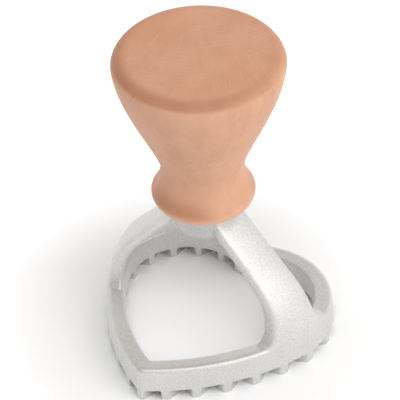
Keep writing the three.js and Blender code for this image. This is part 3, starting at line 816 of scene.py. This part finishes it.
def cast_aluminium(finishes):
    """Blasted cast aluminium: a speckle over faint patches, a grain that roughens it, painted shade in its
    corners.

    The painted shade reaches further out of the tooth hollows, and darkens the boss under the collar.
    """
    material, tree, shader = new_material("cast_aluminium")
    _, height, _, radius = about_axis(tree)
    drift = patches(tree, 11 * MM, 0.8)
    grain = grains(tree, 0.4 * MM, 2.2 * MM, 0.5)
    speckle = ramp(tree, grain["Grain"], 0.25, 0.75)
    tone = total(tree, product(tree, drift, 0.3), product(tree, speckle, 0.7))
    base = mixed(tree, tone, finishes.aluminium_dull, finishes.aluminium_pale)
    shade_tone = finishes.aluminium_painted_shade
    # Painted shade: the casting darkens where ambient occlusion finds near faces, and further out of the
    # tooth hollows.
    corners = add_node(
        tree, "ShaderNodeAmbientOcclusion", {"Distance": 6 * MM}, samples=6, only_local=True
    ).outputs["AO"]
    in_hollows = ramp(tree, height, 3.6 * MM, 2.8 * MM, 0.0, 0.24)
    open_face = ramp(tree, math_node(tree, "SUBTRACT", corners, in_hollows), 0.25, 0.75)
    base = mixed(tree, open_face, shade_tone, base)
    # Painted shade: the boss is darker under the collar.
    under_collar = product(
        tree, ramp(tree, height, SEAT_HEIGHT - 12 * MM, SEAT_HEIGHT - 4 * MM, 0.0, 0.3),
        ramp(tree, radius, 11 * MM, 8.8 * MM),
    )
    base = mixed(tree, under_collar, base, shade_tone)
    roughness = ramp(tree, grain["Grain"], 0.25, 0.75, 0.64, 0.48)
    bump = {"Height": grain["Height"], "Strength": 0.3, "Distance": 0.03 * MM}
    feed_shader(tree, shader, base, roughness, bump)
    shader.inputs["Metallic"].default_value = 1.0
    return material


def beech_grain(tree, place, pith, top, finishes):
    """Colour of clear beech, and its fibres: late wood, slow drifts, fibres, streaks and flecks.

    Rings lie about the pith and are fainter off the top. Fibres, streaks and flecks are cells of noise
    that are drawn out along the grain. A few patches alone have flecks.
    """
    rings = add_node(tree, "ShaderNodeTexWave", {
        "Vector": pith, "Scale": 210.0, "Distortion": 9.0, "Detail": 3.0, "Detail Scale": 0.3,
        "Detail Roughness": 0.6,
    }, wave_type="RINGS", rings_direction="Z", wave_profile="SAW").outputs["Fac"]
    late = product(tree, ramp(tree, rings, 0.3, 1.0), ramp(tree, top, 0.0, 1.0, 0.3, 1.0))
    drift = patches(tree, 16 * MM, 1.5)
    fibre = noise(tree, moved(tree, place, FIBRE_CELLS), detail=3.0, roughness=0.65)
    streaks = noise(tree, moved(tree, place, STREAK_CELLS))
    shares = (
        (0.2, late), (0.36, drift),
        (0.13, ramp(tree, fibre, 0.32, 0.68)), (0.26, ramp(tree, streaks, 0.36, 0.64)),
    )
    tone = total(tree, *(product(tree, value, share) for share, value in shares))
    base = mixed(tree, tone, finishes.beech_pale, finishes.beech_dark)
    cells = moved(tree, place, FLECK_CELLS)
    specks = add_node(tree, "ShaderNodeTexVoronoi", {"Vector": cells, "Scale": 1.0}).outputs["Distance"]
    few = patches(tree, 7.5 * MM, 1.6)
    flecks = product(tree, ramp(tree, specks, 0.17, 0.09), ramp(tree, few, 0.78, 0.95), 0.55)
    return mixed(tree, flecks, base, finishes.beech_fleck), fibre


def beech_rays(tree, pith):
    """Rays that run out from the pith: noise over the turn and the distance, drawn out along the latter."""
    spoke = add_node(tree, "ShaderNodeTexGradient", {"Vector": pith}, gradient_type="RADIAL").outputs["Fac"]
    place = add_node(tree, "ShaderNodeCombineXYZ", {
        "X": product(tree, spoke, RAY_CELLS[0]),
        "Y": product(tree, vector_math(tree, "LENGTH", pith), RAY_CELLS[1]),
    }).outputs["Vector"]
    return ramp(tree, noise(tree, place, detail=1.0), 0.54, 0.72)


def turned_beech(finishes):
    """Satin beech with its grain upright: rings and rays on the top, streaks and flecks on the side.

    Its rim is darker, most in front; painted shade reddens its collar in front; painted light pales its
    lip.
    """
    material, tree, shader = new_material("turned_beech")
    place, height, level, radius = about_axis(tree)
    pith = moved(tree, place, GRAIN_STRETCH, PITH_SHIFT)
    edge, foot = KNOB_HIGH.z, SEAT_HEIGHT
    top = ramp(tree, height, edge - 1.2 * MM, edge - 0.3 * MM)
    base, fibre = beech_grain(tree, place, pith, top, finishes)
    broad_patches = patches(tree, 26 * MM, 1.4)
    end = product(tree, top, ramp(tree, broad_patches, 0.15, 0.85, 0.62, 0.3))
    base = mixed(tree, end, base, finishes.beech_end)
    rays = product(tree, beech_rays(tree, pith), top, 0.32)
    base = mixed(tree, rays, base, finishes.beech_pale)
    # The rim is darker on its shoulder, most towards the front.
    rim = product(
        tree,
        ramp(tree, height, edge - 2.6 * MM, edge - 1.2 * MM),
        ramp(tree, radius, 18.6 * MM, 22.7 * MM),
        ramp(tree, vector_math(tree, "DOT_PRODUCT", level, DARK_RIM_SIDE), -14 * MM, 16 * MM, 0.4, 1.0),
        ramp(tree, broad_patches, 0.2, 0.8, 0.75, 1.0),
    )
    base = mixed(tree, rim, base, finishes.beech_rim_and_shade)
    # Painted shade: the collar is darker and redder in front, away from the light.
    collar_shade = product(
        tree,
        ramp(tree, height, foot + 11 * MM, foot + 6 * MM, 0.0, 0.8),
        ramp(tree, height, foot + 3.2 * MM, foot + 5 * MM),
        ramp(tree, vector_math(tree, "DOT_PRODUCT", level, SHADED_COLLAR_SIDE), 8 * MM, 13.5 * MM),
    )
    base = mixed(tree, collar_shade, base, finishes.beech_rim_and_shade)
    # Painted light: the lip under the collar is paler, as light from the floor would make it.
    lip = ramp(tree, height, foot + 6 * MM, foot + 2.6 * MM)
    base = mixed(tree, lip, base, finishes.beech_lip_light)
    roughness = ramp(tree, fibre, 0.3, 0.7, 0.5, 0.62)
    feed_shader(tree, shader, base, roughness, {"Height": fibre, "Strength": 0.1, "Distance": 0.05 * MM})
    shader.inputs["Specular IOR Level"].default_value = 0.36
    return material


def plated_steel(finishes):
    """Zinc-plated steel: patches of two tones under a fine grain."""
    material, tree, shader = new_material("plated_steel")
    drift = patches(tree, 2.5 * MM, 1.0)
    grain = grains(tree, 0.2 * MM, 1.5 * MM, 0.3)
    base = mixed(tree, drift, finishes.zinc_dull, finishes.zinc_pale)
    roughness = ramp(tree, grain["Grain"], 0.3, 0.7, 0.26, 0.4)
    bump = {"Height": grain["Height"], "Strength": 0.2, "Distance": 0.03 * MM}
    feed_shader(tree, shader, base, roughness, bump)
    shader.inputs["Metallic"].default_value = 1.0
    return material


def direction(azimuth, elevation=0.0):
    """Unit vector towards an azimuth, to the right of the heart's point, and an elevation."""
    return Vector((sin(azimuth) * cos(elevation), -cos(azimuth) * cos(elevation), sin(elevation)))


class CastCutter(Operator):
    """Cast the heart's band, teeth, arms and boss as one piece"""

    bl_idname = "ravioli_cutter.cast_cutter"
    bl_label = "Cast the cutter"

    def execute(self, context):
        sizes = context.scene.cutter_casting
        heart = Heart(context.scene.cutter_heart, sizes.band_width)
        points, faces = joined([
            band_shell(heart, sizes), teeth_shell(heart, sizes), arm_shell(heart, sizes, 1),
            arm_shell(heart, sizes, -1), boss_shell(sizes),
        ])
        piece = make_piece("heart_cutter", points, faces)
        cast_skin(piece, sizes)
        piece.data.shade_smooth()
        piece.data.materials.append(cast_aluminium(context.scene.cutter_finishes))
        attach(piece, "root")
        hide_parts("cutter_casting")
        return {"FINISHED"}


class TurnKnob(Operator):
    """Turn the beech knob with its collar, neck and rim"""

    bl_idname = "ravioli_cutter.turn_knob"
    bl_label = "Turn the knob"

    def execute(self, context):
        points, faces = knob_shell(context.scene.cutter_knob)
        piece = make_piece("beech_knob", points, faces)
        piece.data.shade_smooth()
        piece.data.materials.append(turned_beech(context.scene.cutter_finishes))
        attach(piece, "root")
        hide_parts("handle_knob")
        return {"FINISHED"}


class PlateFasteners(Operator):
    """Give the screw and its washer their zinc plating"""

    bl_idname = "ravioli_cutter.plate_fasteners"
    bl_label = "Plate the fasteners"

    def execute(self, context):
        material = plated_steel(context.scene.cutter_finishes)
        for name in ("handle_screw", "screw_washer"):
            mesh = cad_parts[name].data
            mesh.materials.clear()
            mesh.materials.append(material)
        return {"FINISHED"}


class SetStage(Operator):
    """Set the floor, the light and the camera"""

    bl_idname = "ravioli_cutter.set_stage"
    bl_label = "Set the stage"

    def execute(self, context):
        scene, stage = context.scene, context.scene.cutter_stage
        self.lay_floor(stage)
        self.light_world(scene, stage)
        for name, share, size, azimuth, elevation in (
            ("key", stage.key_share, stage.key_size, stage.key_azimuth, stage.key_elevation),
            ("side", stage.side_share, stage.side_size, stage.side_azimuth, stage.side_elevation),
        ):
            self.hang_lamp(scene, name, share, size, direction(azimuth, elevation), stage.lamp_distance)
        self.place_camera(scene, stage)
        scene.view_settings.view_transform = "Standard"
        return {"FINISHED"}

    def lay_floor(self, stage):
        """Wide flat floor under the teeth, as a grid of squares.

        It glows a little away from the cutter, like a lit sweep, and in the middle of the ring as painted
        light, for the camera and for what metal mirrors. Metal mirrors some more of its white all over.
        """
        side = np.linspace(-FLOOR_REACH, FLOOR_REACH, FLOOR_SQUARES + 1)
        x, y = np.meshgrid(side, side)
        points = np.stack([x, y, np.zeros_like(x)], axis=-1).reshape(-1, 3)
        corner = np.arange(points.shape[0]).reshape(x.shape)
        squares = np.stack([corner[:-1, :-1], corner[:-1, 1:], corner[1:, 1:], corner[1:, :-1]], axis=-1)
        floor = make_piece("floor", points, [squares.reshape(-1, 4)])
        material, tree, shader = new_material("pale_floor")
        shader.inputs["Base Color"].default_value = opaque(stage.floor)
        shader.inputs["Roughness"].default_value = 0.9
        shader.inputs["Specular IOR Level"].default_value = 0.0
        path = add_node(tree, "ShaderNodeLightPath").outputs
        seen = math_node(tree, "MAXIMUM", path["Is Camera Ray"], path["Is Glossy Ray"])
        away = vector_math(tree, "LENGTH", object_place(tree))
        # The glow away from the cutter whitens the floor; the glow in the middle of the ring is painted
        # light.
        lift = total(
            tree, ramp(tree, away, 42 * MM, 75 * MM, 0.0, stage.floor_lift),
            ramp(tree, away, 26 * MM, 10 * MM, 0.0, stage.ring_painted_light),
        )
        mirrored = product(tree, path["Is Glossy Ray"], stage.floor_shine)
        shown = total(tree, product(tree, seen, lift), mirrored)
        glow = add_node(tree, "ShaderNodeEmission", {"Strength": shown}).outputs["Emission"]
        both = add_node(tree, "ShaderNodeAddShader", {0: shader.outputs["BSDF"], 1: glow})
        tree.links.new(both.outputs["Shader"], tree.nodes["Material Output"].inputs["Surface"])
        floor.data.materials.append(material)

    def light_world(self, scene, stage):
        """Studio light that goes evenly from the horizon to the zenith, with two sides that stand out.

        The bright side fades with height. The backdrop is a further white that metal alone mirrors.
        """
        world = bpy.data.worlds.new("studio")
        world.use_nodes = True
        scene.world = world
        tree = world.node_tree
        up = add_node(tree, "ShaderNodeTexCoord").outputs["Generated"]
        height = add_node(tree, "ShaderNodeSeparateXYZ", {"Vector": up}).outputs["Z"]
        level = add_node(tree, "ShaderNodeMapRange", {
            "Value": height, "To Min": stage.horizon_light, "To Max": stage.zenith_light
        }).outputs["Result"]
        to_bright = vector_math(tree, "DOT_PRODUCT", up, direction(stage.bright_azimuth))
        to_backdrop = vector_math(tree, "DOT_PRODUCT", up, direction(stage.backdrop_azimuth))
        bright = product(
            tree, ramp(tree, to_bright, -0.5, 0.8, 0.0, stage.bright_light),
            math_node(tree, "SUBTRACT", 1.0, height, clamp=True),
        )
        backdrop = product(
            tree, ramp(tree, to_backdrop, 0.55, 0.9, 0.0, stage.backdrop_light),
            add_node(tree, "ShaderNodeLightPath").outputs["Is Glossy Ray"],
        )
        light = total(tree, level, bright, backdrop)
        tree.links.new(light, tree.nodes["Background"].inputs["Color"])

    def hang_lamp(self, scene, name, share, size, towards, distance):
        """Square soft lamp that faces the cutter: its power gives a share of white on the floor."""
        lamp = bpy.data.lights.new(name, "AREA")
        lamp.shape = "SQUARE"
        lamp.size = size
        lamp.energy = share * pi * pi * distance ** 2 / towards.z
        holder = bpy.data.objects.new(name, lamp)
        holder.rotation_euler = towards.to_track_quat("Z", "Y").to_euler()
        holder.location = towards * distance
        scene.collection.objects.link(holder)

    def place_camera(self, scene, stage):
        """Camera on a sphere about its aim, turned about its own line of sight by the roll."""
        side = Vector((cos(stage.azimuth), sin(stage.azimuth), 0.0))
        back = direction(stage.azimuth, stage.elevation)
        up = back.cross(side)
        right = side * cos(stage.roll) + up * sin(stage.roll)
        up = up * cos(stage.roll) - side * sin(stage.roll)
        lens = bpy.data.cameras.new("camera")
        lens.sensor_width = 36.0
        lens.lens = stage.lens
        lens.clip_end = 20.0
        camera = bpy.data.objects.new("camera", lens)
        spot = Vector(stage.aim) + back * stage.distance
        camera.matrix_world = Matrix.Translation(spot) @ Matrix((right, up, back)).transposed().to_4x4()
        scene.collection.objects.link(camera)
        scene.camera = camera


class CutterPanel(Panel):
    """Sizes, finishes and the steps that build the cutter"""

    bl_idname = "VIEW3D_PT_ravioli_cutter"
    bl_label = "Ravioli cutter"
    bl_space_type = "VIEW_3D"
    bl_region_type = "UI"
    bl_category = "Ravioli cutter"

    def draw(self, context):
        for group in SETTINGS:
            box = self.layout.box()
            settings = getattr(context.scene, group)
            for name in settings.__annotations__:
                box.prop(settings, name)
        for operator in OPERATORS:
            self.layout.operator(operator.bl_idname)


SETTINGS = {
    "cutter_heart": HeartSizes,
    "cutter_casting": CastingSizes,
    "cutter_knob": KnobSizes,
    "cutter_finishes": Finishes,
    "cutter_stage": StageSettings,
}
OPERATORS = (SetStage, CastCutter, TurnKnob, PlateFasteners)


def register():
    """Register the settings, the operators and the panel."""
    for name, group in SETTINGS.items():
        bpy.utils.register_class(group)
        setattr(bpy.types.Scene, name, PointerProperty(type=group))
    for cls in (*OPERATORS, CutterPanel):
        bpy.utils.register_class(cls)


def unregister():
    """Undo register, last things first."""
    for cls in (CutterPanel, *reversed(OPERATORS)):
        bpy.utils.unregister_class(cls)
    for name, group in reversed(SETTINGS.items()):
        delattr(bpy.types.Scene, name)
        bpy.utils.unregister_class(group)


def main():
    """Build the cutter step by step."""
    register()
    bpy.ops.ravioli_cutter.set_stage()
    bpy.ops.ravioli_cutter.cast_cutter()
    bpy.ops.ravioli_cutter.turn_knob()
    bpy.ops.ravioli_cutter.plate_fasteners()


if __name__ == "__main__":
    main()
